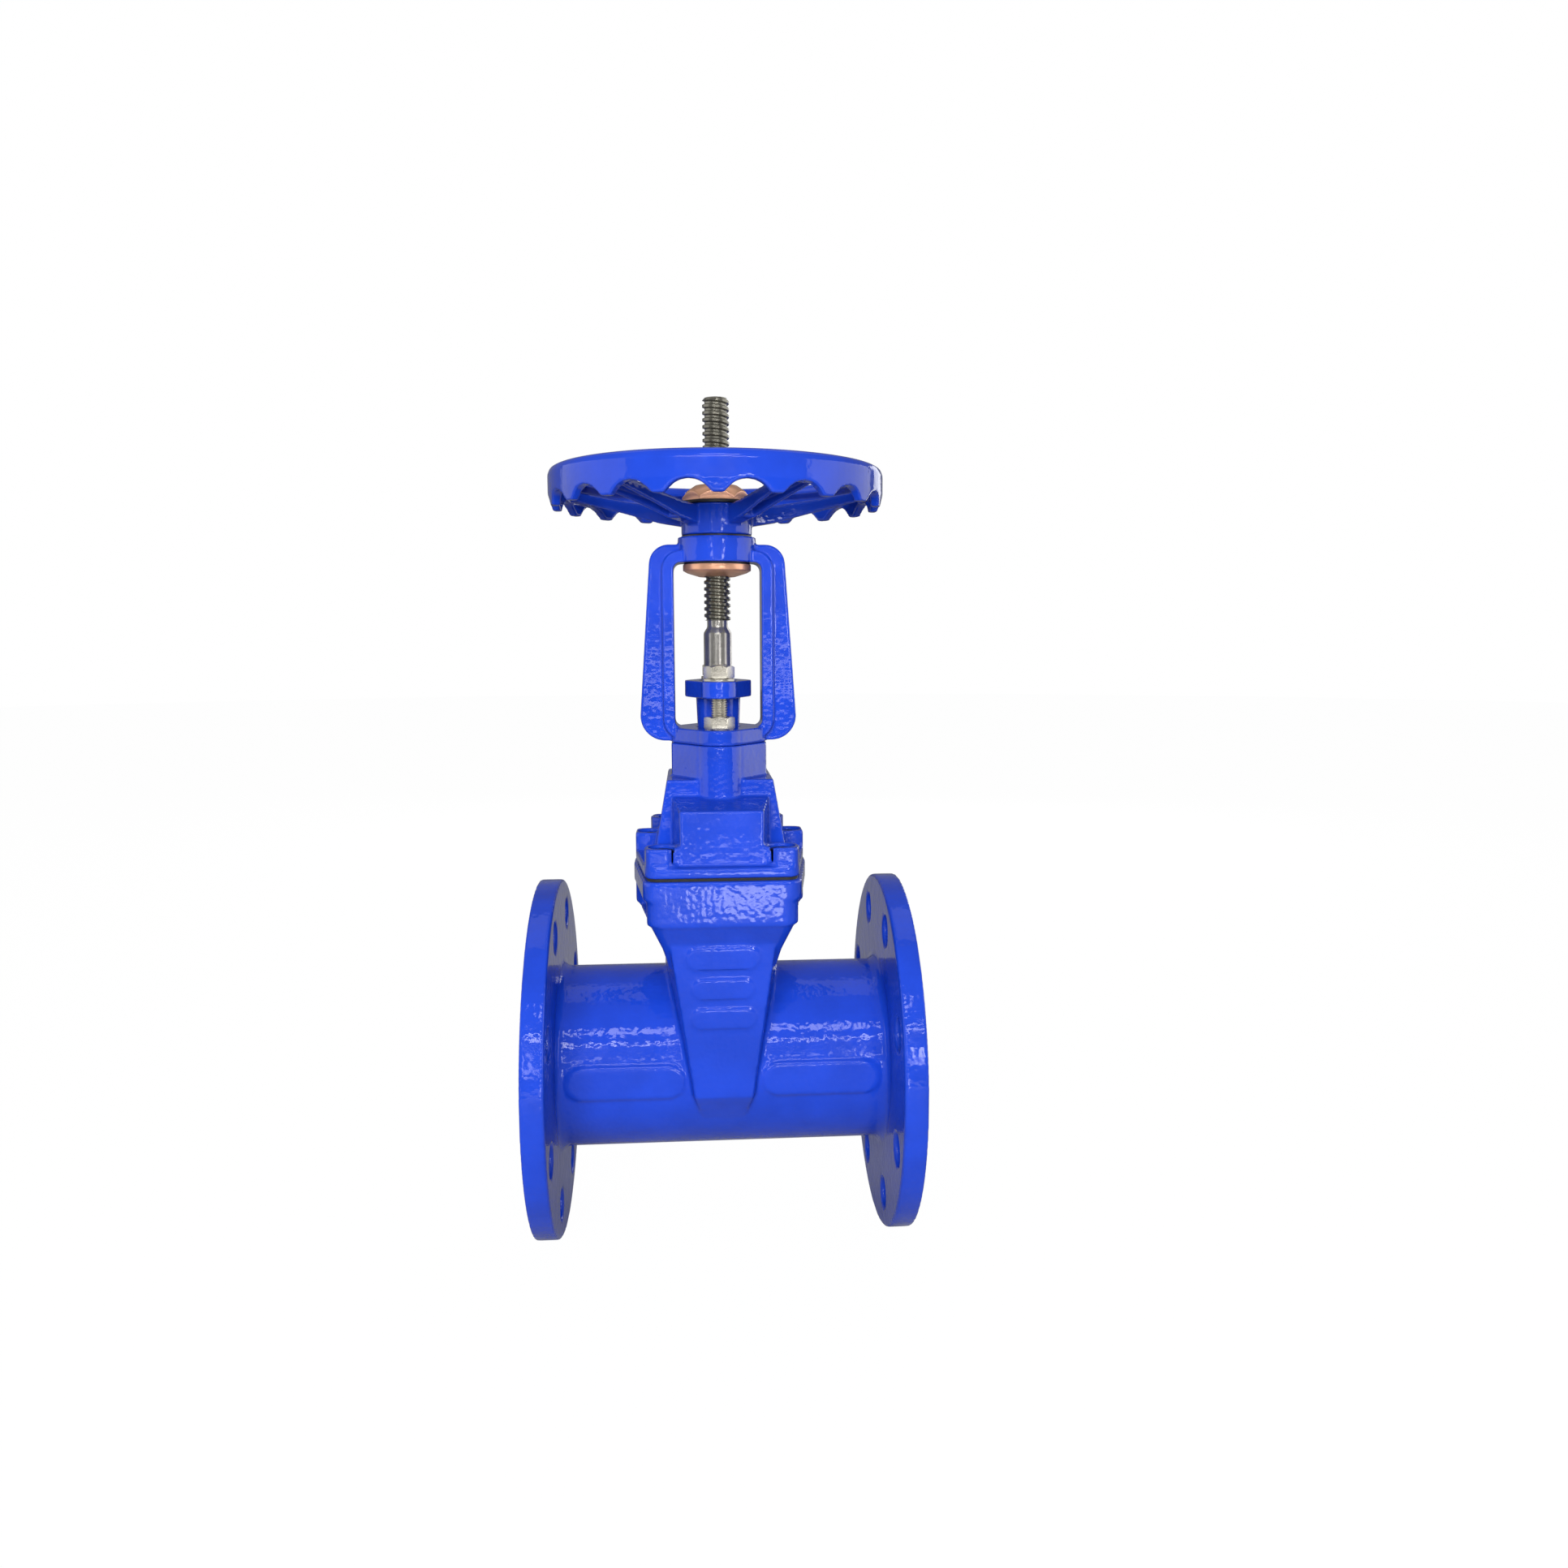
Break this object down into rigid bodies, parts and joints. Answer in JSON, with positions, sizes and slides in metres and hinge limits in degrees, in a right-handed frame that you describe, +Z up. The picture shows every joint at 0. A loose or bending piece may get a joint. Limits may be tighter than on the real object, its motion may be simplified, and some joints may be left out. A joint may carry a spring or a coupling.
{
  "type": "gate valve",
  "caption": "Flanged rising-stem gate valve in blue epoxy-coated iron, with an outside yoke, a lobed handwheel, bronze stem nut and rubber-faced wedge gate, part open.",
  "frame": {"origin": "on the stem axis, at the level of the lowest points of the two flanges, midway between the pipe faces", "axes": "+X along the pipe towards the outlet flange, +Y away from the front screws, +Z up along the stem towards the handwheel"},
  "size_m": [0.229, 0.22, 0.5123],
  "materials": {
    "blue_paint": "glossy blue epoxy powder coat with a light orange peel",
    "wheel_paint": "glossy blue epoxy powder coat",
    "bronze": "machined bronze, satin",
    "stem_steel": "turned stainless steel, satin",
    "plated_steel": "zinc plated, semi-bright",
    "dark_steel": "black oxide",
    "iron": "as cast",
    "black_rubber": "moulded rubber, matte",
    "graphite": "braided packing, matte",
    "black_plastic": "matte",
    "white_plastic": "matte"
  },
  "bodies": {
    "valve": {"body": "blue_paint", "bonnet": "blue_paint", "bonnet_gasket": "black_rubber", "bonnet_screws": "dark_steel", "yoke": "blue_paint", "gland_studs": "plated_steel", "yoke_nuts": "plated_steel", "gland_flange": "blue_paint", "gland_nuts": "plated_steel", "gland_washers": "plated_steel", "packing_rings": "graphite", "packing_seat": "bronze", "stem_wiper": "black_rubber", "upper_thrust_washer": "black_plastic", "lower_thrust_washer": "black_plastic"},
    "wheel": {"handwheel": "wheel_paint", "stem_nut": "bronze", "wheel_key": "dark_steel", "wheel_washer": "black_plastic", "wheel_nut": "bronze"},
    "stem_gate": {"stem": "stem_steel", "gate_nut": "bronze", "gate_nut_pin": "stem_steel", "gate_core": "iron", "gate_rubber": "black_rubber", "gate_guides": "white_plastic"}
  },
  "joints": [
    {"name": "handwheel_turn", "type": "hinge", "parent": "valve", "child": "wheel", "pos_m": [0, 0, 0.44], "axis": [0, 0, 1], "range_deg": [-5400, 3780]},
    {"name": "stem_lift", "type": "slide", "parent": "valve", "child": "stem_gate", "axis": [0, 0, 1], "range_m": [-0.06, 0.042]}
  ],
  "couplings": [
    {"joint": "stem_lift", "follows": "handwheel_turn", "m_per_rad": 0.00063662}
  ]
}
